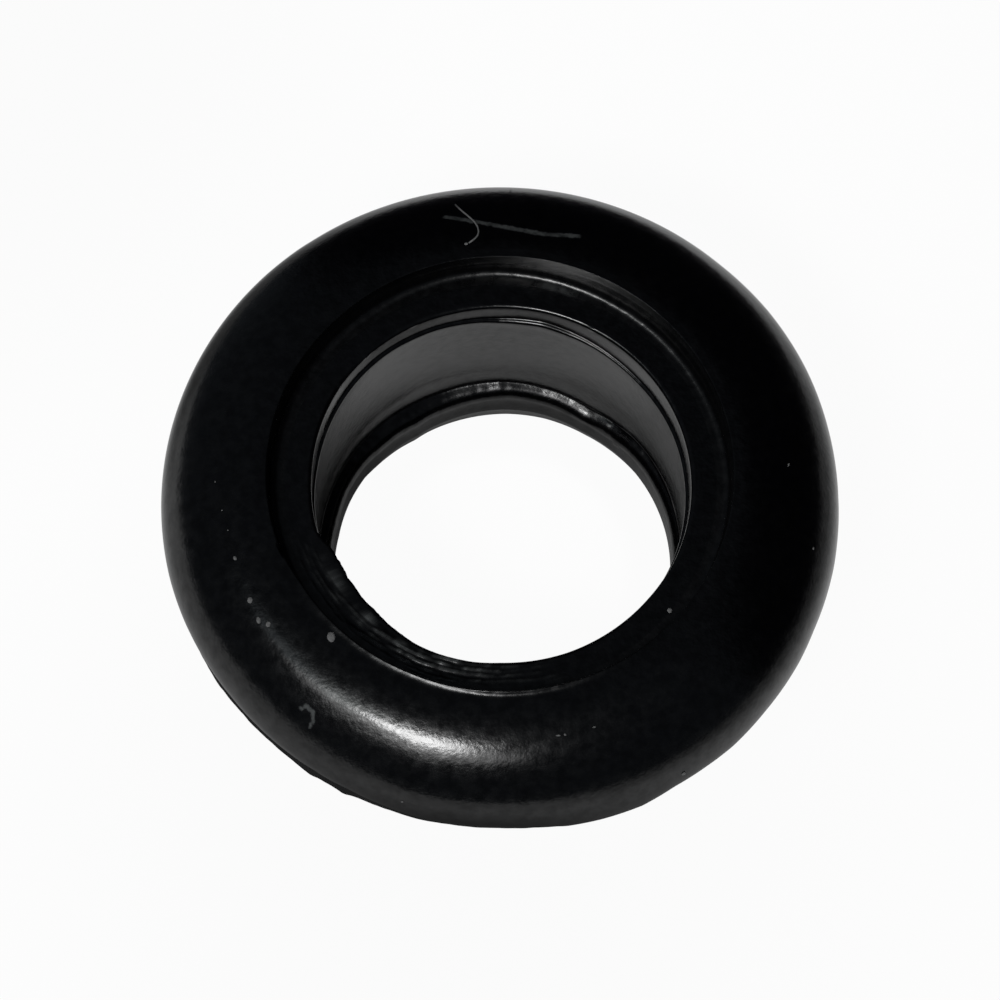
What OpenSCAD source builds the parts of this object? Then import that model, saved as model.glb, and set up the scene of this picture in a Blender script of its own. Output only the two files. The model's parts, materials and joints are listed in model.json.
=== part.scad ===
// Rubber grommet: one moulded ring that lines a round hole in a panel.
// It has a domed head, a groove that takes the panel's edge, and a smaller collar with a
// tapered nose that is pushed through the hole. It stands on the collar's flat foot, with its
// axis along +Z and the origin at the centre of the foot. All sizes are in millimetres.

/* [Head] */
// Diameter over the rounded rim, the widest line of the grommet
head_d = 18; // [15:0.1:22]
// Height of the head, from its underside to the crown
head_h = 3.6; // [3.4:0.1:4.6]
// Radius of the round above the widest line
rim_r = 1.5; // [1.2:0.05:1.8]
// Radius of the flatter arc over the crown
crown_r = 2.9; // [2.4:0.1:3.6]
// How far the surface leans in from upright where the rim's round meets the crown's arc, in degrees
shoulder_tilt = 37; // [30:1:45]
// Length of the straight stretch between those two arcs
shoulder_run = 0.05; // [0.05:0.05:0.3]

/* [Panel groove] */
// Diameter of the groove's floor, a push fit in the panel's hole
groove_d = 13.5; // [12:0.1:16.4]
// Width of the groove, which grips the panel's edge
groove_w = 2; // [1.2:0.1:3]
// Radius in the groove's two inner corners
groove_fillet = 0.3; // [0.05:0.05:0.4]

/* [Collar] */
// How far the collar stands out beyond the groove's floor
collar_out = 0.95; // [0.6:0.05:1.3]
// Height of the collar, from the foot to the groove
collar_h = 2.4; // [2:0.1:3.2]
// Radius of the collar's upper edge
collar_edge_r = 0.4; // [0.2:0.05:0.45]
// Height at which the nose's taper begins
nose_h = 1.45; // [1:0.05:1.6]
// How far the taper draws in towards the foot
nose_in = 1.1; // [0.7:0.05:1.3]
// Radius between the taper and the foot
nose_edge_r = 0.35; // [0.1:0.05:0.45]

/* [Bore] */
// Diameter of the main bore
bore_d = 9.9; // [8:0.1:12]
// How far the bottom lip stands into the bore
lip_in = 0.37; // [0.2:0.01:0.5]
// Height of the lip's ledge above the foot
lip_h = 2.5; // [2:0.1:3]
// Radius over the lip's inner edge
lip_edge_r = 0.3; // [0.1:0.05:0.35]
// Height of the flare below the lip's narrow throat
flare_h = 1.15; // [0.6:0.05:1.5]
// How far the flare opens out towards the foot
flare_out = 0.26; // [0.1:0.02:0.35]
// Radius of the small soft edges, at the foot and in the corner above the lip
soft_r = 0.12; // [0.04:0.02:0.16]
// Radius of the bore's upper edge
bore_edge_r = 0.08; // [0.02:0.01:0.1]

/* [Ridge in the bore] */
// Depth of the ridge's centre line below the bore's upper edge
ridge_drop = 0.62; // [0.25:0.01:1.2]
// How far the ridge stands into the bore
ridge_out = 0.12; // [0.06:0.01:0.2]

/* [Recess in the head] */
// Depth of the steep step inside the crown
step_h = 0.93; // [0.4:0.01:1.1]
// Width of that step, seen from above
step_w = 0.05; // [0.02:0.01:0.2]
// Radius of the crisp edge at the top of the step
step_edge_r = 0.02; // [0.02:0.01:0.1]
// Radius in the foot of the step
step_foot_r = 0.2; // [0.04:0.02:0.24]
// Width of the recess's level floor, between the step and the bore
floor_w = 1.1; // [0.6:0.05:1.3]

/* [Parting line] */
// Angle round the rim from the widest line down to the mould's parting line, in degrees
seam_angle = 30; // [15:1:45]
// How far the thin flash left along it stands out
seam_out = 0.06; // [0.03:0.01:0.15]
// Thickness of that flash
seam_t = 0.1; // [0.06:0.02:0.16]

/* [Hidden] */
$fn = 128;

head_radius = head_d / 2;
groove_radius = groove_d / 2;
collar_radius = groove_radius + collar_out;
nose_radius = collar_radius - nose_in;
bore_radius = bore_d / 2;
throat_radius = bore_radius - lip_in;
foot_radius = throat_radius + flare_out;
step_radius = bore_radius + floor_w;
face_radius = step_radius + step_w;

underside_z = collar_h + groove_w;
top_z = underside_z + head_h;

// The rim's round and the crown's arc are two rounded corners of one outline, and the straight
// stretch between them leans by shoulder_tilt.
rim_corner = rim_r * tan(shoulder_tilt / 2);
crown_corner = crown_r * tan((90 - shoulder_tilt) / 2);
lean = rim_corner + shoulder_run + crown_corner;
shoulder_radius = head_radius - lean * sin(shoulder_tilt);
shoulder_z = top_z - lean * cos(shoulder_tilt);
widest_z = shoulder_z - rim_corner;
crown_radius = shoulder_radius - crown_corner;

// The round below the widest line takes up the head's remaining height, or as much of it as
// the width of the underside allows.
under_room = head_radius - groove_radius - groove_fillet;
under_r = min(widest_z - underside_z, under_room);

// Height of the crown at a given radius, flat inside its highest ring
function crown_z(r) = top_z - crown_r + sqrt(pow(crown_r, 2) - pow(max(r - crown_radius, 0), 2));
face_z = crown_z(face_radius);
bore_top_z = face_z - step_h;

// How far a cut runs on past the surface that it opens
past = 1;

// Outline of the ring's outside, anticlockwise from the axis: [radius, height, corner radius]
outside = [
    [0, 0, 0],
    [nose_radius, 0, nose_edge_r],
    [collar_radius, nose_h, collar_edge_r],
    [collar_radius, collar_h, collar_edge_r],
    [groove_radius, collar_h, groove_fillet],
    [groove_radius, underside_z, groove_fillet],
    [head_radius, underside_z, under_r],
    [head_radius, widest_z + rim_corner, rim_r],
    [shoulder_radius, top_z, crown_r],
    [0, top_z, 0]
];

// Outline of the hole through it, with the recess at its upper end
inside = [
    [0, -past, 0],
    [foot_radius + past, -past, 0],
    [foot_radius + past, 0, 0],
    [foot_radius, 0, soft_r],
    [throat_radius, flare_h, lip_edge_r],
    [throat_radius, lip_h, lip_edge_r],
    [bore_radius, lip_h, soft_r / 2],
    [bore_radius, bore_top_z, bore_edge_r],
    [step_radius, bore_top_z, step_foot_r],
    [face_radius, face_z, step_edge_r],
    [face_radius + past, face_z, 0],
    [face_radius + past, top_z + past, 0],
    [0, top_z + past, 0]
];

// Geometry of a rounded corner, from its own point and its two neighbours
function point(c, i) = [c[(i + len(c)) % len(c)][0], c[(i + len(c)) % len(c)][1]];
function unit(v) = v / norm(v);
function to_last(c, i) = unit(point(c, i - 1) - point(c, i));
function to_next(c, i) = unit(point(c, i + 1) - point(c, i));
function half_angle(c, i) = acos(to_last(c, i) * to_next(c, i)) / 2;
function reach(c, i) = c[i][2] / tan(half_angle(c, i));
function centre(c, i) = point(c, i) + unit(to_last(c, i) + to_next(c, i)) * c[i][2] / sin(half_angle(c, i));
function juts_out(c, i) = cross(to_next(c, i), to_last(c, i)) > 0;
function ends(c, i) = c[i][2] == 0 ? [point(c, i)]
    : [point(c, i) + to_last(c, i) * reach(c, i), point(c, i) + to_next(c, i) * reach(c, i)];

// The sector of a corner's circle, between the two points where the circle touches the outline
module corner_sector(c, i) {
    intersection() {
        translate(centre(c, i)) circle(r = c[i][2]);
        polygon([centre(c, i), ends(c, i)[0], point(c, i), ends(c, i)[1]]);
    }
}

// A polygon whose corners are true arcs: each corner is cut off along its chord, and then its
// sector is added where it juts out, or taken away where it turns in.
module rounded_outline(c) {
    rounded = [for (i = [0:len(c) - 1]) if (c[i][2] > 0) i];
    difference() {
        union() {
            polygon([for (i = [0:len(c) - 1]) each ends(c, i)]);
            for (i = rounded) if (juts_out(c, i)) corner_sector(c, i);
        }
        for (i = rounded) if (!juts_out(c, i)) corner_sector(c, i);
    }
}

// The low half-round ridge inside the bore
module ridge_section() {
    translate([bore_radius, bore_top_z - ridge_drop]) circle(r = ridge_out);
}

// The thin flash along the parting line, rooted in the round below the widest line
module seam_section() {
    seam_z = underside_z + under_r * (1 - sin(seam_angle));
    rim_at_seam = head_radius - under_r * (1 - cos(seam_angle));
    tip = rim_at_seam + seam_out - seam_t / 2;
    root = under_r / 2;
    translate([tip - root, seam_z - seam_t / 2]) square([root, seam_t]);
    translate([tip, seam_z]) circle(r = seam_t / 2);
}

module grommet() {
    color([0.07, 0.07, 0.08])
        rotate_extrude() {
            difference() {
                rounded_outline(outside);
                rounded_outline(inside);
            }
            ridge_section();
            seam_section();
        }
}

grommet();
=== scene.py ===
# %% [markdown]
# # A moulded rubber grommet
#
# A grommet is a soft ring that lines a drilled hole, so that the panel's edge can't cut the
# cable or pipe that passes through. This one was moulded in one shot of black rubber: a domed
# head with a recess, a groove for the panel, a tapered collar and a bore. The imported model
# already has its true section. This lesson turns that section again on a finer lathe, adds what
# the mould left behind, and gives the rubber its satin finish, its dust and its scratch.

import json
import math
import random

import bmesh
import bpy
from mathutils import Matrix, Vector, noise


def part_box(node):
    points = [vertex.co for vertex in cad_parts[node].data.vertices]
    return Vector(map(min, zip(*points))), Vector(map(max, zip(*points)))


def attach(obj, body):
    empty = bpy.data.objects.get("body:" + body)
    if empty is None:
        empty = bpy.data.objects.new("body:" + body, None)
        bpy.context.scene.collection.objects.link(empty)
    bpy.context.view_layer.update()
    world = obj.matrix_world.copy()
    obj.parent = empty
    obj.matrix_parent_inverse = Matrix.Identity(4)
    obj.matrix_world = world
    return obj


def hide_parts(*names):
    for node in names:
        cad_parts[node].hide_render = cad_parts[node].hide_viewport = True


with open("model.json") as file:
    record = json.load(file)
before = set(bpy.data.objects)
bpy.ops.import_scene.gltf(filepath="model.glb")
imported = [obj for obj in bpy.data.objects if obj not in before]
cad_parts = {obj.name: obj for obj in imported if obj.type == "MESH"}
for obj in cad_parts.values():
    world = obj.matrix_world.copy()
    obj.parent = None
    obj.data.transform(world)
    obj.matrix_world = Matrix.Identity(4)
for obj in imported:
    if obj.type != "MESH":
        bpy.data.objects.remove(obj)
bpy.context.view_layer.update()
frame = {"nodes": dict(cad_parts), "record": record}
low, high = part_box("grommet")
mounts = {mount["name"]: mount for mount in frame["record"]["mounts"]}
print("packed nodes:", sorted(frame["nodes"]))

# %% [markdown]
# ## Sizes
#
# Blender works in metres, and a maker thinks of a grommet in millimetres, so every size below is
# a number of millimetres times MM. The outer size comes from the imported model's own box, and the
# two bores from its mounts. The rest are the small radii and steps of the mould.

# %% Sizes of the section
MM = 0.001
RIM = (high.x - low.x) / 2
CROWN = high.z
BORE = mounts["cable_bore"]["dims"]["r_mm"] * MM
THROAT = mounts["lip_throat"]["dims"]["r_mm"] * MM

COLLAR_HEIGHT = 2.4 * MM
UNDERSIDE = 4.4 * MM
GROOVE = 6.75 * MM
COLLAR = GROOVE + 0.95 * MM
NOSE = COLLAR - 1.1 * MM
NOSE_HEIGHT = 1.45 * MM
LEDGE = 2.5 * MM
FLARE_HEIGHT = 1.15 * MM
FOOT = THROAT + 0.26 * MM
STEP = BORE + 1.1 * MM
FACE = STEP + 0.05 * MM
BORE_TOP = CROWN - 0.93 * MM
UPPER_BORE = BORE + 0.035 * MM

RIDGE = BORE_TOP - 0.62 * MM
RIDGE_OUT = 0.12 * MM
SEAM = 5.15 * MM
SEAM_HALF = 0.05 * MM

RIM_ROUND = 1.5 * MM
CROWN_ROUND = 2.9 * MM
SHOULDER_TILT = math.radians(37)
SHOULDER_RUN = 0.05 * MM
print(f"outer diameter {2 * RIM / MM:.2f} mm, height {CROWN / MM:.2f} mm")

# %% [markdown]
# ## The camera
#
# A small part like this is looked at from some six diameters away, nearly from above, on a long
# lens, so that the ring stays round and little of it is stretched. The camera is placed by the
# angle from which it looks at the centre of the crown, and then tipped a little down so that the
# ring sits just above the middle of the frame.

# %% Camera
bpy.context.scene.view_settings.view_transform = "Standard"

VIEW_ELEVATION = math.radians(68.5)
VIEW_DISTANCE = 104.35 * MM
AIM_BELOW = 0.79 * MM

to_camera = Vector((0, -math.cos(VIEW_ELEVATION), math.sin(VIEW_ELEVATION)))
picture_up = Vector((0, math.sin(VIEW_ELEVATION), math.cos(VIEW_ELEVATION)))
crown_centre = Vector((0, 0, CROWN))

camera = bpy.data.objects.new("camera", bpy.data.cameras.new("camera"))
bpy.context.scene.collection.objects.link(camera)
bpy.context.scene.camera = camera
camera.data.lens = 144
camera.data.sensor_width = 36
camera.data.clip_start = 1 * MM
camera.location = crown_centre + to_camera * VIEW_DISTANCE
aim = crown_centre - picture_up * AIM_BELOW
camera.rotation_euler = (aim - camera.location).to_track_quat("-Z", "Y").to_euler()
print("camera at", [round(c / MM, 1) for c in camera.location], "mm")


# %% [markdown]
# ## Nodes by name
#
# A material is a small graph. This helper adds one node to it, sets its plain values and joins
# its inputs, so that each finish below reads as a list of steps.

# %% A helper for material graphs
def add_node(tree, kind, settings=None, **inputs):
    """Adds a node. An input that is a socket is linked, and any other value is set on the input."""
    node = tree.nodes.new(kind)
    for name, value in (settings or {}).items():
        setattr(node, name, value)
    for name, value in inputs.items():
        key = int(name[1:]) if name[1:].isdigit() else name.replace("_", " ")
        if isinstance(value, bpy.types.NodeSocket):
            tree.links.new(value, node.inputs[key])
        else:
            node.inputs[key].default_value = value
    return node


def new_material(name):
    """Returns an empty material with its output node."""
    material = bpy.data.materials.new(name)
    material.use_nodes = True
    material.node_tree.nodes.clear()
    output = add_node(material.node_tree, "ShaderNodeOutputMaterial")
    return material, material.node_tree, output


# %% [markdown]
# ## Floor and light
#
# A studio lays a black part on a white sheet. The floor here is a pale matt sheet that
# ends a little way behind the grommet. What the camera sees of it is lifted to white, and so is
# the world behind it. The sheet takes the lamps' real shadows, and shade is also painted into its
# matt colour: dark under the ring, most of all on its near side, and in its bore, at the back left
# and towards the far right. A share of the lift is also given to mirrored rays as a painted
# reflection, dimmed by the same painted shade and raised close to the ring on its right, so that
# the sheet looks nearly as white in the rubber as it does beside it. Black rubber shows hardly any
# colour of its own: nearly all that the eye sees of it is the lamp and the sheet, mirrored dimly,
# so the place of each light matters more than its strength.

# %% Floor
SHEET_LEFT, SHEET_RIGHT = -160 * MM, 60 * MM
SHEET_NEAR, SHEET_FAR = -160 * MM, 21.3 * MM
FLOOR_WHITE = 0.96
# The sheet's glow in mirrored rays is a painted reflection, weaker in general and stronger close to the ring's
# right.
FLOOR_WHITE_MIRRORED = 0.32
FLOOR_WHITE_MIRRORED_RIGHT = 0.62
# Painted shade on the sheet darkens it round a point under the ring's near side and round one at the back left.
PAINTED_SHADE_CENTRE = (-0.6 * MM, -7 * MM, 0)
PAINTED_SHADE_BACK_LEFT = (-17 * MM, 17 * MM, 0)
PAINTED_GLOW_RIGHT = (12 * MM, -1 * MM, 0)
FOOT_SHADOW = 6  # radius in millimetres within which the sheet lies under the ring or in its bore


def ramp(tree, value, start, end, first, last):
    """Reads a soft step that goes from first to last between two lengths in millimetres."""
    step = add_node(tree, "ShaderNodeMapRange", {"interpolation_type": "SMOOTHSTEP"}, Value=value)
    for key, number in (("From Min", start * MM), ("From Max", end * MM), ("To Min", first), ("To Max", last)):
        step.inputs[key].default_value = number
    return step.outputs[0]


def painted_floor_shade(tree):
    """Painted shade on the sheet: dim in the bore, in the ring's shade, at the back left and far right."""
    point = add_node(tree, "ShaderNodeTexCoord").outputs["Object"]
    radius = add_node(tree, "ShaderNodeVectorMath", {"operation": "LENGTH"}, i0=point).outputs["Value"]
    shade = add_node(
        tree, "ShaderNodeVectorMath", {"operation": "DISTANCE"}, i0=point, i1=PAINTED_SHADE_CENTRE,
    ).outputs["Value"]
    x = add_node(tree, "ShaderNodeSeparateXYZ", Vector=point).outputs["X"]
    outside = add_node(
        tree, "ShaderNodeMath", {"operation": "MULTIPLY"},
        i0=ramp(tree, shade, 1.5, 17, 0.05, 1), i1=ramp(tree, x, 8, 36, 1, 0.3),
    )
    back_left = add_node(
        tree, "ShaderNodeVectorMath", {"operation": "DISTANCE"}, i0=point, i1=PAINTED_SHADE_BACK_LEFT,
    ).outputs["Value"]
    outside = add_node(
        tree, "ShaderNodeMath", {"operation": "MULTIPLY"},
        i0=outside.outputs[0], i1=ramp(tree, back_left, 5, 16, 0.2, 1),
    )
    out = add_node(tree, "ShaderNodeMath", {"operation": "GREATER_THAN"}, i0=radius, i1=FOOT_SHADOW * MM)
    mixed = add_node(tree, "ShaderNodeMix", {"data_type": "FLOAT"}, Factor=out.outputs[0])
    tree.links.new(ramp(tree, radius, 3.45, 4.0, 0.7, 0.15), mixed.inputs["A"])
    tree.links.new(outside.outputs[0], mixed.inputs["B"])
    return mixed.outputs[0]


def whitened(tree, matt):
    """Mixes plain white over a shader for camera rays, and a painted reflection for mirrored and transmitted rays.
    """
    path = add_node(tree, "ShaderNodeLightPath")
    point = add_node(tree, "ShaderNodeTexCoord").outputs["Object"]
    # Painted reflection: the sheet glows more for mirrored rays close to the ring's right, and less where painted
    # shade lies.
    painted_glow_distance = add_node(
        tree, "ShaderNodeVectorMath", {"operation": "DISTANCE"}, i0=point, i1=PAINTED_GLOW_RIGHT,
    ).outputs["Value"]
    share = add_node(
        tree, "ShaderNodeMath", {"operation": "MULTIPLY", "use_clamp": True},
        i0=painted_floor_shade(tree), i1=ramp(tree, painted_glow_distance, 2, 12, FLOOR_WHITE_MIRRORED_RIGHT, FLOOR_WHITE_MIRRORED),
    ).outputs[0]
    seen = add_node(
        tree, "ShaderNodeMath", {"operation": "MULTIPLY"}, i0=path.outputs["Is Camera Ray"], i1=FLOOR_WHITE,
    )
    mirrored = add_node(
        tree, "ShaderNodeMath", {"operation": "MULTIPLY_ADD"},
        i0=path.outputs["Is Glossy Ray"], i1=share, i2=seen.outputs[0],
    )
    through = add_node(
        tree, "ShaderNodeMath", {"operation": "MULTIPLY_ADD", "use_clamp": True},
        i0=path.outputs["Is Transmission Ray"], i1=share, i2=mirrored.outputs[0],
    )
    white = add_node(tree, "ShaderNodeEmission", Color=(1, 1, 1, 1), Strength=1)
    return add_node(tree, "ShaderNodeMixShader", i0=through.outputs[0], i1=matt, i2=white.outputs[0])


material, tree, output = new_material("pale_sheet")
point = add_node(tree, "ShaderNodeTexCoord").outputs["Object"]
radius = add_node(tree, "ShaderNodeVectorMath", {"operation": "LENGTH"}, i0=point).outputs["Value"]
# Painted shade: the sheet's matt colour darkens between 3.3 mm and 4 mm out inside the bore, and outside the ring it
# takes the painted floor shade.
painted_bore_shade = add_node(
    tree, "ShaderNodeMath", {"operation": "MULTIPLY"},
    i0=ramp(tree, radius, 3.3, 4.0, 0.8, 0.25), i1=ramp(tree, radius, 5, FOOT_SHADOW, 1, 0),
)
paleness_and_painted_shade = add_node(
    tree, "ShaderNodeMath", {"operation": "MULTIPLY_ADD"},
    i0=painted_floor_shade(tree), i1=ramp(tree, radius, 5, FOOT_SHADOW, 0, 0.8), i2=painted_bore_shade.outputs[0],
)
matt = add_node(tree, "ShaderNodeBsdfDiffuse", Color=paleness_and_painted_shade.outputs[0], Roughness=1)
tree.links.new(whitened(tree, matt.outputs[0]).outputs[0], output.inputs["Surface"])

sheet = bmesh.new()
bmesh.ops.create_grid(sheet, x_segments=1, y_segments=1, size=0.5)
bmesh.ops.scale(sheet, verts=sheet.verts, vec=(SHEET_RIGHT - SHEET_LEFT, SHEET_FAR - SHEET_NEAR, 1))
bmesh.ops.translate(
    sheet, verts=sheet.verts, vec=((SHEET_LEFT + SHEET_RIGHT) / 2, (SHEET_NEAR + SHEET_FAR) / 2, 0),
)
floor = bpy.data.objects.new("floor", bpy.data.meshes.new("floor"))
sheet.to_mesh(floor.data)
sheet.free()
floor.data.materials.append(material)
bpy.context.scene.collection.objects.link(floor)
print("sheet:", [round(size / MM) for size in floor.dimensions], "mm")

# %% [markdown]
# ## Lamps
#
# One soft box stands behind the camera's left shoulder. It is wider than it is tall, which draws
# its mirror image out into a crescent along the crown. A large and weaker diffuser round it softens
# the crescent's ends, and a reflector and a window pane further to the left draw out its left end.
# The room round them is almost dark, a little paler and bluer to the left.

# %% Soft boxes
BOX_DISTANCE = 300 * MM
SOFT_BOXES = [  # azimuth and elevation in degrees, width, height, level on the sheet, colour
    ("soft_box", 242.5, 55.4, 98 * MM, 54 * MM, 0.44, (1, 1, 1)),
    ("diffuser", 239, 51, 260 * MM, 110 * MM, 0.19, (1, 1, 1)),
    ("reflector", 219, 56, 70 * MM, 90 * MM, 0.035, (0.93, 1, 0.97)),
    ("window_pane", 200, 54, 130 * MM, 50 * MM, 0.012, (0.85, 0.95, 1)),
]
for name, azimuth, elevation, width, height, level, colour in SOFT_BOXES:
    box = bpy.data.lights.new(name, "AREA")
    box.shape = "ELLIPSE"
    box.size, box.size_y = width, height
    box.color = colour
    box.energy = level * math.pi**2 * BOX_DISTANCE**2
    azimuth, elevation = math.radians(azimuth), math.radians(elevation)
    way = Vector((
        math.cos(azimuth) * math.cos(elevation), math.sin(azimuth) * math.cos(elevation), math.sin(elevation),
    ))
    lamp = bpy.data.objects.new(name, box)
    bpy.context.scene.collection.objects.link(lamp)
    lamp.location = crown_centre + way * BOX_DISTANCE
    lamp.rotation_euler = (-way).to_track_quat("-Z", "Y").to_euler()
    print(name, "at", [round(c / MM) for c in lamp.location], "mm")

# %% Room
WINDOW_SIDE = Vector((-0.68, -0.73, 0.0))
WINDOW_EDGE = -0.32
WINDOW_SOFTNESS = 0.16
WINDOW_LIGHT = (0.054, 0.061, 0.070, 1)
DARK_ROOM = (0.007, 0.007, 0.009, 1)

world = bpy.data.worlds.new("studio")
bpy.context.scene.world = world
world.use_nodes = True
tree = world.node_tree
tree.nodes.clear()
ray = add_node(tree, "ShaderNodeNewGeometry")
towards_window = add_node(
    tree, "ShaderNodeVectorMath", {"operation": "DOT_PRODUCT"}, i0=ray.outputs["Incoming"], i1=-WINDOW_SIDE,
)
share = add_node(
    tree, "ShaderNodeMapRange", {"interpolation_type": "SMOOTHSTEP"}, Value=towards_window.outputs["Value"],
)
share.inputs["From Min"].default_value = WINDOW_EDGE - WINDOW_SOFTNESS / 2
share.inputs["From Max"].default_value = WINDOW_EDGE + WINDOW_SOFTNESS / 2
dark = add_node(tree, "ShaderNodeBackground", Color=DARK_ROOM)
pale = add_node(tree, "ShaderNodeBackground", Color=WINDOW_LIGHT)
room = add_node(tree, "ShaderNodeMixShader", i0=share.outputs[0], i1=dark.outputs[0], i2=pale.outputs[0])
path = add_node(tree, "ShaderNodeLightPath")
white = add_node(tree, "ShaderNodeBackground", Color=(1, 1, 1, 1), Strength=1)
seen = add_node(
    tree, "ShaderNodeMixShader", i0=path.outputs["Is Camera Ray"], i1=room.outputs[0], i2=white.outputs[0],
)
add_node(tree, "ShaderNodeOutputWorld", Surface=seen.outputs[0])


# %% [markdown]
# ## The section
#
# A turned or moulded ring is one outline swept round an axis. The outline could be traced point
# by point, but a toolmaker thinks of it as straight cuts whose corners are rounded by a cutter of
# a given radius. So it is drawn that way: each row below is a corner, with the radius of its
# round. A round is a vertex spun about the cutter's centre, which gives a true arc.

# %% Corners of the section
rim_reach = RIM_ROUND * math.tan(SHOULDER_TILT / 2)
crown_reach = CROWN_ROUND * math.tan((math.pi / 2 - SHOULDER_TILT) / 2)
lean = rim_reach + SHOULDER_RUN + crown_reach
SHOULDER = RIM - lean * math.sin(SHOULDER_TILT)
WIDEST = CROWN - lean * math.cos(SHOULDER_TILT) - rim_reach
UNDER_ROUND = WIDEST - UNDERSIDE

EDGE = 0.02 * MM
CORNERS = [  # radius, height, round, steps of the round, cuts in the straight run after it
    (FOOT, 0, 0.12 * MM, 3, 2),
    (NOSE, 0, 0.35 * MM, 5, 2),
    (COLLAR, NOSE_HEIGHT, 0.4 * MM, 4, 0),
    (COLLAR, COLLAR_HEIGHT, 0.4 * MM, 5, 1),
    (GROOVE, COLLAR_HEIGHT, 0.3 * MM, 4, 2),
    (GROOVE, UNDERSIDE, 0.3 * MM, 4, 1),
    (RIM, UNDERSIDE, UNDER_ROUND, 10, 0),
    (RIM, WIDEST + rim_reach, RIM_ROUND, 8, 0),
    (SHOULDER, CROWN, CROWN_ROUND, 15, 7),
    (FACE, CROWN, EDGE, 5, 5),
    (STEP, BORE_TOP, 0.2 * MM, 8, 20),
    (UPPER_BORE, BORE_TOP, 0.09 * MM, 5, 4),
    (UPPER_BORE, RIDGE + RIDGE_OUT, 0.01 * MM, 1, 0),
    (BORE - RIDGE_OUT, RIDGE + RIDGE_OUT, 0.105 * MM, 6, 0),
    (BORE - RIDGE_OUT, RIDGE - RIDGE_OUT, 0.105 * MM, 6, 0),
    (BORE, RIDGE - RIDGE_OUT, 0.01 * MM, 1, 8),
    (BORE, LEDGE + 0.03 * MM, 0.04 * MM, 2, 3),
    (THROAT, LEDGE - 0.135 * MM, 0.4 * MM, 9, 3),
    (THROAT, FLARE_HEIGHT, 0.3 * MM, 2, 3),
]
TOUCH = 0.001 * MM


def draw_round(outline, last, corner, following, radius, steps):
    """Draws one corner's arc and returns where it starts and ends."""
    to_last = (last - corner).normalized()
    to_next = (following - corner).normalized()
    half = to_last.angle(to_next) / 2
    reach = radius / math.tan(half)
    start = outline.verts.new(corner + to_last * reach)
    centre = corner + (to_last + to_next).normalized() * radius / math.sin(half)
    bmesh.ops.spin(
        outline, geom=[start], cent=centre, axis=to_next.cross(to_last),
        angle=math.pi - 2 * half, steps=steps,
    )
    return corner + to_last * reach, corner + to_next * reach


def nearest(outline, point):
    return min(outline.verts, key=lambda vertex: (vertex.co - point).length)


def draw_section(corners):
    """Draws a closed outline of straight runs and rounds in the X-Z plane."""
    outline = bmesh.new()
    points = [Vector((radius, 0, height)) for radius, height, *_ in corners]
    rounds = []
    for i, (_, _, radius, steps, _) in enumerate(corners):
        following = points[(i + 1) % len(points)]
        rounds.append(draw_round(outline, points[i - 1], points[i], following, radius, steps))
    for i, corner in enumerate(corners):
        end, start = rounds[i][1], rounds[(i + 1) % len(rounds)][0]
        if (start - end).length < TOUCH:
            continue
        run = outline.edges.new((nearest(outline, end), nearest(outline, start)))
        if corner[-1]:
            bmesh.ops.subdivide_edges(outline, edges=[run], cuts=corner[-1])
    bmesh.ops.remove_doubles(outline, verts=outline.verts, dist=TOUCH)
    return outline


ring = draw_section(CORNERS)
print("points in the section:", len(ring.verts))

# %% [markdown]
# The two halves of the mould met just below the widest line. Five fine rows are cut into the
# outline there, so that the flash which the mould left can stand out from them.

# %% Rows for the parting line
for row in range(-2, 3):
    bmesh.ops.bisect_plane(
        ring, geom=ring.verts[:] + ring.edges[:],
        plane_co=(0, 0, SEAM + row * SEAM_HALF / 2), plane_no=(0, 0, 1),
    )
print("points with the parting line:", len(ring.verts))

# %% [markdown]
# ## Turning the ring
#
# The outline is spun all the way round the axis, and the last copy is merged with the first.

# %% Spin
TURN_STEPS = 512
bmesh.ops.spin(
    ring, geom=ring.verts[:] + ring.edges[:], cent=(0, 0, 0), axis=(0, 0, 1),
    angle=math.tau, steps=TURN_STEPS, use_merge=True,
)
bmesh.ops.remove_doubles(ring, verts=ring.verts, dist=TOUCH / 10)
bmesh.ops.recalc_face_normals(ring, faces=ring.faces)
print("faces in the ring:", len(ring.faces), "closed:", all(e.is_manifold for e in ring.edges))


# %% [markdown]
# ## What the mould left behind
#
# A cast ring is never as clean as its drawing. Each mark below is made by moving the ring's own
# vertices within their half-plane: a mark is a function of the azimuth round the axis, and it
# says how far the surface stands out or sags there. The helpers read a vertex as radius, azimuth
# and height, put it back, and give smooth humps and tables over the azimuth.


# %% Helpers for marks
def place(vertex):
    """Radius, azimuth in degrees and height of a vertex."""
    x, y, z = vertex.co
    return math.hypot(x, y), math.degrees(math.atan2(y, x)) % 360, z


def put(vertex, radius, height):
    """Moves a vertex within its own half-plane."""
    x, y, _ = vertex.co
    scale = radius / math.hypot(x, y)
    vertex.co = (x * scale, y * scale, height)


def hump(azimuth, centre, spread):
    """A smooth hump over the azimuth, 1 at its centre."""
    away = (azimuth - centre + 180) % 360 - 180
    return math.exp(-((away / spread) ** 2) / 2)


def read(table, azimuth):
    """Reads a value between the rows of a table of (azimuth, value), and 0 beside it."""
    for (start, first), (end, last) in zip(table, table[1:]):
        if start <= azimuth <= end:
            return first + (last - first) * (azimuth - start) / (end - start)
    return 0


def rough(azimuth, pitch, seed, across=0.0):
    """Smooth noise from -1 to 1 that runs round the ring. The pitch is in degrees."""
    turn = math.radians(azimuth)
    reach = 57.3 / pitch
    return noise.noise(Vector((math.cos(turn) * reach, math.sin(turn) * reach, seed + across)))


# %% [markdown]
# ### The flash on the parting line
#
# Rubber creeps into the gap between the mould's halves and leaves a thin ragged fin. It was torn
# off here and there, so its height changes round the rim, with two lumps and two notches. The rim
# isn't quite round either: it is drawn in on the near left, and fuller on the near right.

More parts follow.
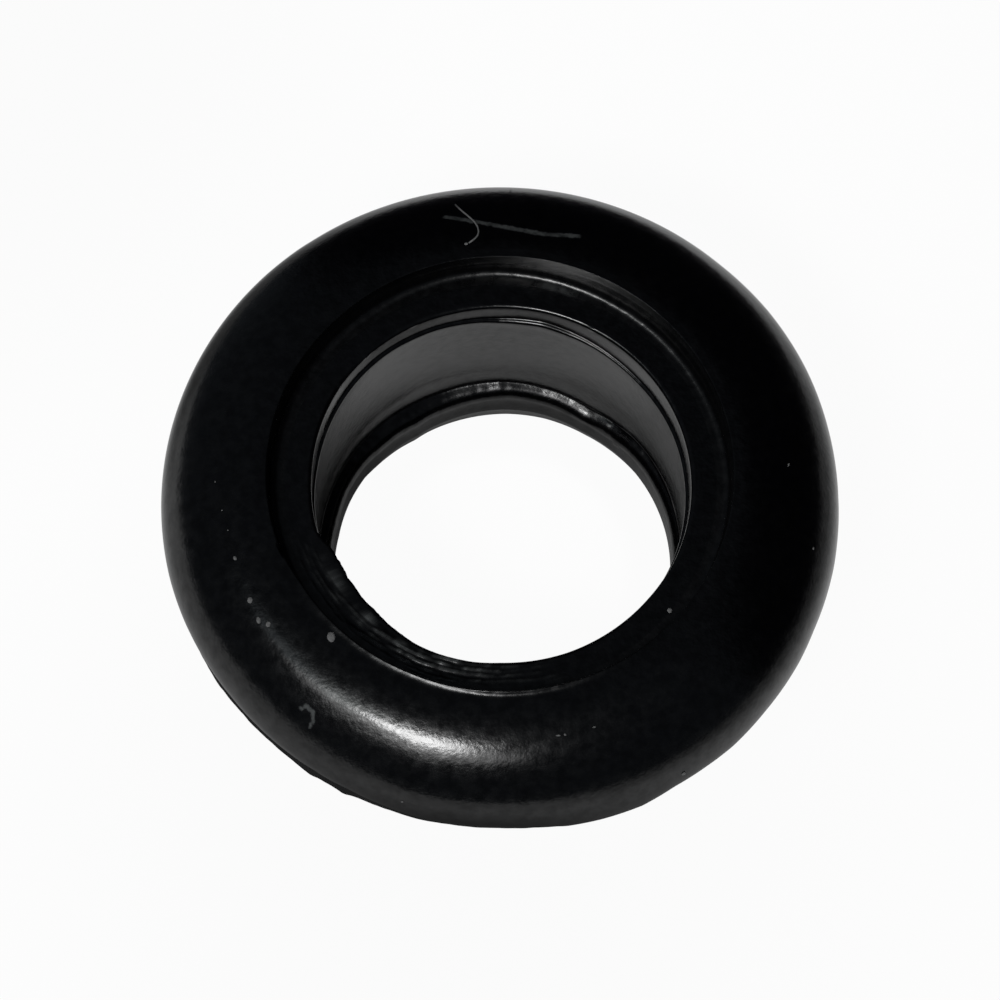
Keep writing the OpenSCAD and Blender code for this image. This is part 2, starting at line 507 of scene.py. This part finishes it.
# %% Flash
RIM_DRAWN_IN = [  # azimuth in degrees, how far the rim is drawn in (or, below 0, stands out) in millimetres
    (0, 0.01), (12, 0.01), (24, -0.01), (36, 0), (48, 0.03), (60, 0.02), (125, 0.01), (135, -0.03), (156, 0),
    (178, 0), (194, 0), (203, 0.02), (218, 0.08), (245, 0.07), (256, 0), (270, 0), (276, -0.03), (281, -0.1),
    (287, -0.125), (294, -0.14), (300, -0.09), (306, -0.09), (312, -0.1), (320, -0.07), (330, -0.06),
    (336, -0.03), (348, -0.03), (360, 0.01),
]
FLASH = [  # azimuth in degrees, how far the fin stands out in millimetres
    (0, 0.06), (60, 0.06), (90, 0.04), (140, 0.06), (190, 0.06), (197, 0.07), (204, 0.12), (212, 0.16), (218, 0.17),
    (226, 0.16), (233, 0.17), (236, 0.21), (238, 0.17), (240, 0.17), (243, 0.21), (246, 0.14), (252, 0.1),
    (262, 0.08), (276, 0.08), (290, 0.08), (300, 0.07), (330, 0.05), (360, 0.06),
]
NOTCHES = (287.5, 295.5)
NOTCH_DEPTH, NOTCH_SPREAD = 0.5, 0.5
DRAWN_IN_FROM, DRAWN_IN_TO = 7 * MM, 8.7 * MM  # radii between which a drawn-in rim takes effect
ROUND_START = RIM - RIM_ROUND * (1 - math.cos(SHOULDER_TILT))
ROUND_TOP = WIDEST + RIM_ROUND * math.sin(SHOULDER_TILT)
for vertex in ring.verts:
    radius, azimuth, height = place(vertex)
    if radius < COLLAR or height < UNDERSIDE - TOUCH:
        continue
    level = abs(height - SEAM) / SEAM_HALF
    drawn_in = read(RIM_DRAWN_IN, azimuth) * MM
    share = min(1, max(0, (radius - DRAWN_IN_FROM) / (DRAWN_IN_TO - DRAWN_IN_FROM)))
    if drawn_in < 0 and height > SEAM:
        # A fuller rim has a larger round, which still starts at the same place.
        sinks = drawn_in * (ROUND_TOP - WIDEST) / (RIM - ROUND_START)
        if height > WIDEST:
            share = min(1, max(0, (radius - ROUND_START) / (RIM - ROUND_START)))
            height += sinks * min(1, max(0, (ROUND_TOP - height) / (ROUND_TOP - WIDEST)))
        else:
            height += sinks * (height - SEAM) / (WIDEST - SEAM)
    drawn_in *= share
    fin = 0
    if level < 0.9:
        fin = read(FLASH, azimuth) * (1 + 0.08 * rough(azimuth, 1.6, 5.0) + 0.1 * rough(azimuth, 5, 9.0))
        for notch in NOTCHES:
            fin *= 1 - NOTCH_DEPTH * hump(azimuth, notch, NOTCH_SPREAD)
        fin *= MM * (1 if level < 0.1 else 0.95)
    put(vertex, radius - drawn_in + fin, height)
print("flash stands out by", min(h for _, h in FLASH), "to", max(h for _, h in FLASH), "mm")

# %% [markdown]
# ### The ridge in the bore
#
# The low ridge near the top of the bore is where the core met the upper half of the mould. The
# core sat a little askew. So the ridge wanders up and down round the bore, it is stronger at the
# back, and the short stretch of bore above it is a little wider than the rest.

# %% Ridge and upper bore
RIDGE_DEPTH = [  # azimuth in degrees, depth of the ridge below the crown in millimetres
    (0, 1.9), (20, 1.85), (40, 1.93), (52, 1.86), (64, 1.72), (77, 1.62), (90, 1.64), (103, 1.55), (116, 1.49),
    (130, 1.44), (144, 1.5), (157, 1.66), (171, 1.95), (185, 1.9), (270, 1.75), (360, 1.9),
]
RIDGE_SIZE = [  # azimuth in degrees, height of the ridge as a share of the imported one's
    (0, 0.35), (45, 0.4), (58, 0.5), (72, 0.75), (84, 0.75), (94, 0.5), (106, 0.38), (170, 0.3), (360, 0.35),
]
UPPER_WANDER = [  # azimuth in degrees, how far the upper bore lies out of round in millimetres
    (0, 0.055), (60, 0.045), (76, 0.055), (104, 0.055), (118, 0.095), (132, 0.1), (146, 0.085), (161, 0.03),
    (176, -0.025), (240, -0.035), (250, 0.005), (262, 0.015), (270, -0.015), (290, 0.025), (320, 0.035),
    (335, 0.065), (360, 0.055),
]
WALL_ABOVE = BORE_TOP - 0.1 * MM
WALL_BELOW = RIDGE - 1.6 * MM
for vertex in ring.verts:
    radius, azimuth, height = place(vertex)
    if radius > UPPER_BORE + 0.3 * MM or height < WALL_BELOW:
        continue
    if height > RIDGE:
        spread = min(1, max(0, (UPPER_BORE + 0.3 * MM - radius) / (0.2 * MM)))
        radius += read(UPPER_WANDER, azimuth) * MM * spread * min(1, (height - RIDGE) / (BORE_TOP - RIDGE))
    if abs(height - RIDGE) < RIDGE_OUT + TOUCH:
        size = read(RIDGE_SIZE, azimuth)
        if radius < BORE:
            radius = BORE - (BORE - radius) * size
        height = RIDGE + (height - RIDGE) * (0.4 + 0.6 * size)
    if height < WALL_ABOVE:
        shift = RIDGE - (CROWN - (read(RIDGE_DEPTH, azimuth) + 0.02 * rough(azimuth, 9, 2.0)) * MM)
        if height > RIDGE + RIDGE_OUT:
            shift *= (WALL_ABOVE - height) / (WALL_ABOVE - RIDGE - RIDGE_OUT)
        elif height < RIDGE - RIDGE_OUT:
            shift *= (height - WALL_BELOW) / (RIDGE - RIDGE_OUT - WALL_BELOW)
        height -= shift
    put(vertex, radius, height)

# %% [markdown]
# ### The film on the bore's upper edge
#
# On the near left a paper-thin film of rubber was left hanging into the bore where the core was
# pulled out. Its free edge is a little ragged. Four small tags hang on the far side.

# %% Film and tags
FILM = [  # azimuth in degrees, width of the film in millimetres
    (194, 0), (196, 0.02), (198, 0.07), (200, 0.14), (202, 0.2), (204, 0.245), (207, 0.27), (210, 0.255),
    (213, 0.225), (216, 0.215), (219, 0.22), (222, 0.21), (226, 0.18), (230, 0.15), (235, 0.1), (240, 0.05),
    (245, 0.015), (262, 0.01), (266, 0),
]
TAGS = ((117.1, 0.06, 0.5), (134.2, 0.06, 0.7), (146.6, 0.06, 0.5), (61.0, 0.03, 0.6))  # azimuth, size, spread
FILM_THICKNESS = 0.05 * MM
for vertex in ring.verts:
    radius, azimuth, height = place(vertex)
    below = BORE_TOP - height
    if radius > UPPER_BORE + 0.12 * MM or below > 0.07 * MM or below < -TOUCH:
        continue
    reach = read(FILM, azimuth) * (1 + 0.12 * rough(azimuth, 1.3, 11.0) + 0.12 * rough(azimuth, 4, 12.0))
    reach += 0.02 * max(0, rough(azimuth, 0.9, 15.0)) * hump(azimuth, 240, 18)
    reach += sum(size * hump(azimuth, centre, spread) for centre, size, spread in TAGS)
    put(vertex, radius - reach * MM * (1 if below < FILM_THICKNESS / 2 else 0.35), height)

# %% [markdown]
# ### The torn band on the near left
#
# Pulling the core also dragged the floor of the recess into fine ridges that run round the bore,
# worst on the near left. Each one wanders, comes and goes.

# %% Torn band
TORN = [(196, 0), (210, 0.35), (228, 0.6), (240, 0.9), (248, 1), (264, 1), (269, 0.6), (274, 0.2), (290, 0)]
STREAKS = (0.1, 0.24, 0.38, 0.53, 0.66)  # how far out from the bore each one lies, in millimetres
STREAK_WIDTH = 0.045
STREAK_HEIGHT = 0.038 * MM
STREAK_LIMIT = 1.3
scuff_and_painted_highlight = ring.verts.layers.float.new("scuff_and_painted_highlight")
dull = ring.verts.layers.float.new("dull")
for vertex in ring.verts:
    radius, azimuth, height = place(vertex)
    share = read(TORN, azimuth)
    if not share or not UPPER_BORE < radius < STEP - 0.15 * MM or abs(height - BORE_TOP) > 0.03 * MM:
        continue
    out = (radius - UPPER_BORE) / MM
    lift = 0
    for number, base in enumerate(STREAKS):
        line = base + 0.06 * rough(azimuth, 9, 20.0 + number) + 0.02 * rough(azimuth, 1.6, 30.0 + number)
        size = 0.6 + 1.1 * rough(azimuth, 4.5, 40.0 + number) + 0.5 * rough(azimuth, 1.3, 50.0 + number)
        lift += max(0, size) * math.exp(-(((out - line) / STREAK_WIDTH) ** 2))
    lift = min(lift, STREAK_LIMIT)
    # The ridge tops are painted paler: partly scuffed rubber, partly a painted highlight.
    vertex[scuff_and_painted_highlight] = share * lift**2
    vertex[dull] = share
    put(vertex, radius, height + share * STREAK_HEIGHT * lift)

# %% [markdown]
# ### The bottom lip
#
# The bottom lip is the last place that the rubber reached. Its ledge sags, most of it on the far
# right, and is a little uneven, so the light breaks up on it. Its throat isn't quite round.

# %% Uneven lip
THROAT_WANDER = [  # azimuth in degrees, how far the throat lies out of round in millimetres
    (0, 0.13), (18, 0.08), (32, 0.05), (48, 0.02), (60, 0), (75, 0.02), (88, 0), (102, -0.05), (111, -0.08),
    (116, -0.1), (121, -0.14), (127, -0.11), (138, -0.08), (145, -0.04), (157, -0.03), (170, -0.04), (180, 0),
    (320, 0), (340, 0.06), (355, 0.14), (360, 0.13),
]
LEDGE_SAG = [  # azimuth in degrees, how far the ledge lies below its mean height in millimetres
    (0, 0.3), (42, 0.46), (50, 0.62), (60, 0.66), (66, 0.58), (72, 0.5), (80, 0.42), (90, 0.37), (100, 0.42),
    (110, 0.52), (140, 0.45), (180, 0.38), (360, 0.3),
]
for vertex in ring.verts:
    radius, azimuth, height = place(vertex)
    if radius > BORE + TOUCH or height > LEDGE + 0.09 * MM:
        continue
    height -= read(LEDGE_SAG, azimuth) * MM * min(1, max(0, (height - 0.6 * FLARE_HEIGHT) / (1.1 * MM)))
    share = min(1, max(0, (BORE - radius) / (0.12 * MM)))
    sag = 0
    if height > LEDGE - 0.9 * MM:
        sag = 0.02 * rough(azimuth, 9, 50.0) + 0.008 * rough(azimuth, 2.4, 53.0) + 0.003 * rough(azimuth, 0.9, 57.0)
        sag += 0.03 * hump(azimuth, 52, 2.5) - 0.03 * hump(azimuth, 45, 3) - 0.03 * hump(azimuth, 59, 4)
    put(vertex, radius + (read(THROAT_WANDER, azimuth) + sag / 2) * share * MM, height + sag * share * MM)

# %% [markdown]
# ### The recess's edges
#
# The edge between the face and the recess is crisp at the back and worn rounder at the front,
# where the wear has thrown up a low bead and pushed the edge a little further in. The foot of the
# step drifts by a few hundredths of a millimetre, and one nick was knocked into the edge on the
# left.

# %% Edges of the recess
# Azimuth in degrees, then how many times rounder the edge is, or how far it has moved in millimetres
EDGE_WEAR = [(0, 1), (190, 1), (215, 1.6), (240, 2), (270, 2), (295, 1.6), (320, 1), (360, 1)]
FOOT_DRIFT = [(0, 0), (30, -0.05), (60, -0.05), (72, -0.02), (84, 0.02), (92, 0.05), (104, 0.05), (130, 0), (360, 0)]
BEAD = [  # azimuth in degrees, height of the bead that the worn edge has thrown up in millimetres
    (205, 0), (216, 0.02), (224, 0.03), (236, 0.036), (242, 0.044), (248, 0.048), (254, 0.048), (260, 0.052),
    (266, 0.076), (272, 0.078), (278, 0.072), (284, 0.06), (290, 0.036), (310, 0),
]
EDGE_DRIFT = [(0, 0), (200, 0), (212, -0.09), (248, -0.08), (258, -0.04), (268, -0.02), (276, 0), (360, 0)]
BEAD_OUT, BEAD_WIDTH = 0.015 * MM, 0.075 * MM
FOOT_REACH = 0.35 * MM  # how far in from the step its rounded foot begins
DRIFT_FROM = BORE_TOP + 0.25 * MM  # height from which the worn edge drifts
NICK = (201.5, 0.7)
NICK_DEPTH = Vector((0.07, -0.04)) * MM
corner = Vector((FACE, CROWN))
for vertex in ring.verts:
    radius, azimuth, height = place(vertex)
    spot = Vector((radius, height))
    if (spot - corner).length < 1.05 * EDGE:
        spot = corner + (spot - corner) * read(EDGE_WEAR, azimuth)
        spot += NICK_DEPTH * hump(azimuth, *NICK)
    elif STEP - FOOT_REACH < radius < STEP + 0.03 * MM and BORE_TOP - TOUCH < height < BORE_TOP + 0.5 * MM:
        drift = read(FOOT_DRIFT, azimuth) + 0.009 * rough(azimuth, 1.7, 70.0) + 0.007 * rough(azimuth, 0.8, 71.0)
        spot.x += drift * MM * min(1, (radius - STEP + FOOT_REACH) / (0.15 * MM))
        vertex[dull] = 1
    if height > CROWN - 0.03 * MM and radius > FACE - 0.03 * MM:
        away = (radius - FACE - BEAD_OUT) / BEAD_WIDTH
        vertex[dull] = max(vertex[dull], 1.2 * math.exp(-(away / 2) ** 2) * min(1, read(BEAD, azimuth) / 0.05))
        spot.y += read(BEAD, azimuth) * MM * math.exp(-(away**2)) * (1 + 0.25 * rough(azimuth, 1.2, 80.0))
    if height > DRIFT_FROM and radius > STEP - TOUCH:
        near = min((height - DRIFT_FROM) / (0.6 * MM), 1 - (radius - FACE) / (0.3 * MM))
        spot.x += read(EDGE_DRIFT, azimuth) * MM * min(1, max(0, near))
    if height > SEAM and radius > UPPER_BORE + 0.3 * MM:
        spot.x += 0.004 * MM * rough(azimuth, 25, 60.0)
    put(vertex, *spot)
bmesh.ops.recalc_face_normals(ring, faces=ring.faces)
print("closed after the marks:", all(e.is_manifold for e in ring.edges))

# %% [markdown]
# ## The finish of the rubber
#
# Carbon black makes the rubber nearly black all through. Its skin copies the mould: smooth
# enough to mirror the soft box as a tight crescent, but with a fine grain that breaks the crescent
# up. The graph works in the ring's own millimetres, so the grain stays put when the ring moves.


# %% Rubber
def line_distance(tree, point, start, end):
    """Distance of a point from the straight line between two places, in metres."""
    start, end = Vector(start) * MM, Vector(end) * MM
    along = end - start
    away = add_node(tree, "ShaderNodeVectorMath", {"operation": "SUBTRACT"}, i0=point, i1=start)
    share = add_node(
        tree, "ShaderNodeVectorMath", {"operation": "DOT_PRODUCT"},
        i0=away.outputs[0], i1=along / along.length_squared,
    )
    kept = add_node(tree, "ShaderNodeClamp", Value=share.outputs["Value"])
    foot = add_node(tree, "ShaderNodeVectorMath", {"operation": "SCALE"}, i0=along, Scale=kept.outputs[0])
    gap = add_node(tree, "ShaderNodeVectorMath", {"operation": "SUBTRACT"}, i0=away.outputs[0], i1=foot.outputs[0])
    return add_node(tree, "ShaderNodeVectorMath", {"operation": "LENGTH"}, i0=gap.outputs[0]).outputs["Value"]


def stroke(tree, point, path, width):
    """A mask that is 1 on a path of places in millimetres and fades out at its edges."""
    nearest_line = None
    for start, end in zip(path, path[1:]):
        distance = line_distance(tree, point, start, end)
        if nearest_line is not None:
            distance = add_node(
                tree, "ShaderNodeMath", {"operation": "MINIMUM"}, i0=nearest_line, i1=distance,
            ).outputs[0]
        nearest_line = distance
    mask = add_node(tree, "ShaderNodeMapRange", Value=nearest_line)
    mask.inputs["From Min"].default_value = width * MM
    mask.inputs["From Max"].default_value = width * MM * 0.45
    return mask.outputs[0]


# Each mark is a path of places on the skin, in millimetres, and half the width of its stroke.
SCRATCH = [
    (-1.47, 7.38, 7.75), (-0.64, 7.18, 7.87), (0.54, 6.91, 7.94), (1.07, 6.80, 7.95), (1.61, 6.76, 7.93),
    (2.1, 6.74, 7.91),
]
SCRATCH_WIDTH = 0.085
BLOTCH = [(1.22, 5.66, 7.07), (1.6, 5.55, 7.07), (2.0, 5.42, 7.07)]
BLOTCH_WIDTH = 0.12
COMMA = [
    (-5.13, -6.35, 7.36), (-4.97, -6.30, 7.46), (-4.81, -6.46, 7.44), (-4.82, -6.68, 7.30), (-4.92, -6.80, 7.16),
]
COMMA_WIDTH = 0.075
SHAKE = (0.09 * MM, 0.09 * MM, 0.09 * MM)


def rubber_material():
    """Satin black rubber with a fine grain, a scratch, a blotch, a comma-shaped mark and scuffs, which are partly a
    painted highlight on the torn ridges.
    """
    material, tree, output = new_material("rubber")
    point = add_node(tree, "ShaderNodeTexCoord").outputs["Object"]
    fine = add_node(tree, "ShaderNodeTexNoise", Vector=point, Scale=8500, Detail=2, Roughness=0.55)
    broad = add_node(tree, "ShaderNodeTexNoise", Vector=point, Scale=3400, Detail=3, Roughness=0.6)
    cloud = add_node(tree, "ShaderNodeTexNoise", Vector=point, Scale=420, Detail=3, Roughness=0.55)

    shake = add_node(
        tree, "ShaderNodeVectorMath", {"operation": "SUBTRACT"}, i0=fine.outputs["Color"], i1=(0.5, 0.5, 0.5),
    )
    shaken = add_node(
        tree, "ShaderNodeVectorMath", {"operation": "MULTIPLY_ADD"},
        i0=shake.outputs[0], i1=SHAKE, i2=point,
    ).outputs[0]
    scratch = stroke(tree, shaken, SCRATCH, SCRATCH_WIDTH)
    comma = stroke(tree, shaken, COMMA, COMMA_WIDTH)
    blotch = stroke(tree, shaken, BLOTCH, BLOTCH_WIDTH)
    patchy = add_node(tree, "ShaderNodeMapRange", Value=broad.outputs["Fac"])
    patchy.inputs["From Min"].default_value = 0.35
    patchy.inputs["From Max"].default_value = 0.6
    patchy.inputs["To Min"].default_value = 0.08
    patchy.inputs["To Max"].default_value = 0.34
    chalk = add_node(tree, "ShaderNodeMath", {"operation": "MULTIPLY"}, i0=scratch, i1=patchy.outputs[0])
    faint = add_node(tree, "ShaderNodeMath", {"operation": "MULTIPLY_ADD"}, i0=comma, i1=0.42, i2=chalk.outputs[0])
    blotch = add_node(tree, "ShaderNodeMath", {"operation": "MULTIPLY"}, i0=blotch, i1=patchy.outputs[0])
    faint = add_node(
        tree, "ShaderNodeMath", {"operation": "MULTIPLY_ADD"}, i0=blotch.outputs[0], i1=0.45, i2=faint.outputs[0],
    )
    # Scuffs on the torn band, partly a painted highlight on its ridge tops.
    torn_and_painted_highlight = add_node(tree, "ShaderNodeAttribute", {"attribute_name": "scuff_and_painted_highlight"}).outputs["Fac"]
    faint = add_node(
        tree, "ShaderNodeMath", {"operation": "MULTIPLY_ADD", "use_clamp": True},
        i0=torn_and_painted_highlight, i1=0.38, i2=faint.outputs[0],
    )

    black = add_node(tree, "ShaderNodeMix", {"data_type": "RGBA"}, Factor=cloud.outputs["Fac"])
    black.inputs[6].default_value = (0.0002, 0.0002, 0.0004, 1)
    black.inputs[7].default_value = (0.0008, 0.0008, 0.0010, 1)
    colour = add_node(tree, "ShaderNodeMix", {"data_type": "RGBA"}, Factor=faint.outputs[0])
    tree.links.new(black.outputs[2], colour.inputs[6])
    colour.inputs[7].default_value = (0.16, 0.17, 0.17, 1)

    sheen = add_node(tree, "ShaderNodeMapRange", Value=broad.outputs["Fac"])
    sheen.inputs["From Min"].default_value = 0.3
    sheen.inputs["From Max"].default_value = 0.7
    sheen.inputs["To Min"].default_value = 0.17
    sheen.inputs["To Max"].default_value = 0.23

    worn = add_node(tree, "ShaderNodeAttribute", {"attribute_name": "dull"}).outputs["Fac"]
    sheen = add_node(
        tree, "ShaderNodeMath", {"operation": "MULTIPLY_ADD"}, i0=worn, i1=0.09, i2=sheen.outputs[0],
    )

    grain = add_node(tree, "ShaderNodeBump", Height=fine.outputs["Fac"], Strength=0.6, Distance=0.007 * MM)
    swell = add_node(
        tree, "ShaderNodeBump", Height=broad.outputs["Fac"], Strength=0.6, Distance=0.006 * MM,
        Normal=grain.outputs[0],
    )
    gleam = add_node(tree, "ShaderNodeMapRange", Value=broad.outputs["Fac"])
    gleam.inputs["From Min"].default_value = 0.35
    gleam.inputs["From Max"].default_value = 0.65
    gleam.inputs["To Min"].default_value = 0.4
    gleam.inputs["To Max"].default_value = 0.62
    surface = add_node(
        tree, "ShaderNodeBsdfPrincipled", Base_Color=colour.outputs[2], Roughness=sheen.outputs[0],
        Specular_IOR_Level=gleam.outputs[0], Normal=swell.outputs[0],
    )
    tree.links.new(surface.outputs[0], output.inputs["Surface"])
    return material


moulded_ring = bpy.data.objects.new("moulded_ring", bpy.data.meshes.new("moulded_ring"))
ring.to_mesh(moulded_ring.data)
ring.free()
moulded_ring.data.shade_smooth()
moulded_ring.data.materials.append(rubber_material())
bpy.context.scene.collection.objects.link(moulded_ring)
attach(moulded_ring, "root")
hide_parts("grommet")
print("triangles in the ring:", 2 * len(moulded_ring.data.polygons))

# %% [markdown]
# ## Dust and lint
#
# Soft rubber holds on to dust. A curled fibre lies across the scratch and ends in a speck, and a
# few paler grains sit on the crown and the rim. They are real little solids: each grain is a
# lumpy ball pressed flat onto the surface, and the fibre is a thin tube drawn through its bends.


# %% Dust material
def dust_material():
    """Pale grey dust, a little mottled."""
    material, tree, output = new_material("dust")
    point = add_node(tree, "ShaderNodeTexCoord").outputs["Object"]
    mottle = add_node(tree, "ShaderNodeTexNoise", Vector=point, Scale=20000, Detail=2)
    colour = add_node(tree, "ShaderNodeMix", {"data_type": "RGBA"}, Factor=mottle.outputs["Fac"])
    colour.inputs[6].default_value = (0.05, 0.05, 0.05, 1)
    colour.inputs[7].default_value = (0.2, 0.2, 0.2, 1)
    surface = add_node(tree, "ShaderNodeBsdfPrincipled", Base_Color=colour.outputs[2], Roughness=0.8)
    tree.links.new(surface.outputs[0], output.inputs["Surface"])
    return material


dust = dust_material()

# %% Dust specks
SPECK_ROUGHNESS = 0.006 * MM
SPECKS = [  # radius, azimuth, height above the foot, length, width, in millimetres and degrees
    (6.33, 226.8, 8.0, 0.3, 0.22), (6.54, 97.9, 7.99, 0.11, 0.08), (7.55, 1.8, 7.74, 0.12, 0.05),
    (8.39, 347.1, 7.16, 0.09, 0.06), (9.04, 301.7, 6.11, 0.14, 0.1), (8.90, 253.6, 6.41, 0.07, 0.05),
    (5.67, 321.0, 7.08, 0.14, 0.13), (7.31, 188.4, 7.84, 0.05, 0.04), (7.25, 193.0, 7.86, 0.05, 0.04),
    (7.27, 199.3, 7.85, 0.12, 0.1), (7.36, 208.8, 7.82, 0.18, 0.16), (7.3, 215.2, 7.84, 0.17, 0.14),
    (7.44, 213.3, 7.79, 0.2, 0.12), (7.44, 182.0, 7.79, 0.05, 0.04), (8.48, 88.0, 7.06, 0.09, 0.06),
    (7.36, 281.6, 7.82, 0.12, 0.04), (7.37, 283.0, 7.82, 0.08, 0.05), (7.38, 289.0, 7.81, 0.1, 0.05),
]
random.seed(4)
grains = bmesh.new()
for radius, azimuth, height, length, width in SPECKS:
    turn = Matrix.Rotation(math.radians(azimuth + random.uniform(20, 160)), 4, "Z")
    shape = Matrix.Diagonal((length * MM / 2, width * MM / 2, width * MM / 5, 1))
    a = math.radians(azimuth)
    spot = Matrix.Translation((radius * MM * math.cos(a), radius * MM * math.sin(a), height * MM))
    made = bmesh.ops.create_icosphere(grains, subdivisions=2, radius=1, matrix=spot @ turn @ shape)
    for vertex in made["verts"]:
        vertex.co += Vector([random.uniform(-1, 1) * SPECK_ROUGHNESS for _ in range(3)])
bmesh.ops.recalc_face_normals(grains, faces=grains.faces)
dust_specks = bpy.data.objects.new("dust_specks", bpy.data.meshes.new("dust_specks"))
grains.to_mesh(dust_specks.data)
grains.free()
dust_specks.data.shade_smooth()
dust_specks.data.materials.append(dust)
bpy.context.scene.collection.objects.link(dust_specks)
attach(dust_specks, "root")
print("specks:", len(SPECKS))

# %% Lint fibre
BENDS = [
    (-1.20, 7.84, 7.55), (-1.02, 7.58, 7.71), (-0.85, 7.38, 7.81), (-0.68, 7.18, 7.88), (-0.60, 7.02, 7.93),
    (-0.57, 6.86, 7.96), (-0.60, 6.72, 7.985), (-0.70, 6.60, 8.0), (-0.83, 6.50, 8.0),
]
FIBRE_RADIUS = 0.024 * MM
thread = bmesh.new()
points = [Vector(bend) * MM for bend in BENDS]
circle = bmesh.ops.create_circle(thread, cap_ends=True, radius=FIBRE_RADIUS, segments=8)["verts"]
way = points[1] - points[0]
face = thread.faces[:][0]
bmesh.ops.transform(
    thread, matrix=Matrix.Translation(points[0]) @ way.to_track_quat("Z", "X").to_matrix().to_4x4(), verts=circle,
)
for last, point, following in zip(points, points[1:], points[2:] + [points[-1] * 2 - points[-2]]):
    made = bmesh.ops.extrude_face_region(thread, geom=[face])
    end = [item for item in made["geom"] if isinstance(item, bmesh.types.BMVert)]
    new_face = [item for item in made["geom"] if isinstance(item, bmesh.types.BMFace)][0]
    bend = (following - point).normalized() + (point - last).normalized()
    turn = way.normalized().rotation_difference(bend.normalized()).to_matrix().to_4x4()
    bmesh.ops.transform(
        thread, matrix=Matrix.Translation(point) @ turn @ Matrix.Translation(-last), verts=end,
    )
    way = bend
    if face.is_valid and last is not points[0]:
        bmesh.ops.delete(thread, geom=[face], context="FACES_ONLY")
    face = new_face
bmesh.ops.recalc_face_normals(thread, faces=thread.faces)
lint_fibre = bpy.data.objects.new("lint_fibre", bpy.data.meshes.new("lint_fibre"))
thread.to_mesh(lint_fibre.data)
thread.free()
lint_fibre.data.shade_smooth()
lint_fibre.data.materials.append(dust)
bpy.context.scene.collection.objects.link(lint_fibre)
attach(lint_fibre, "root")
print("bends in the fibre:", len(BENDS))
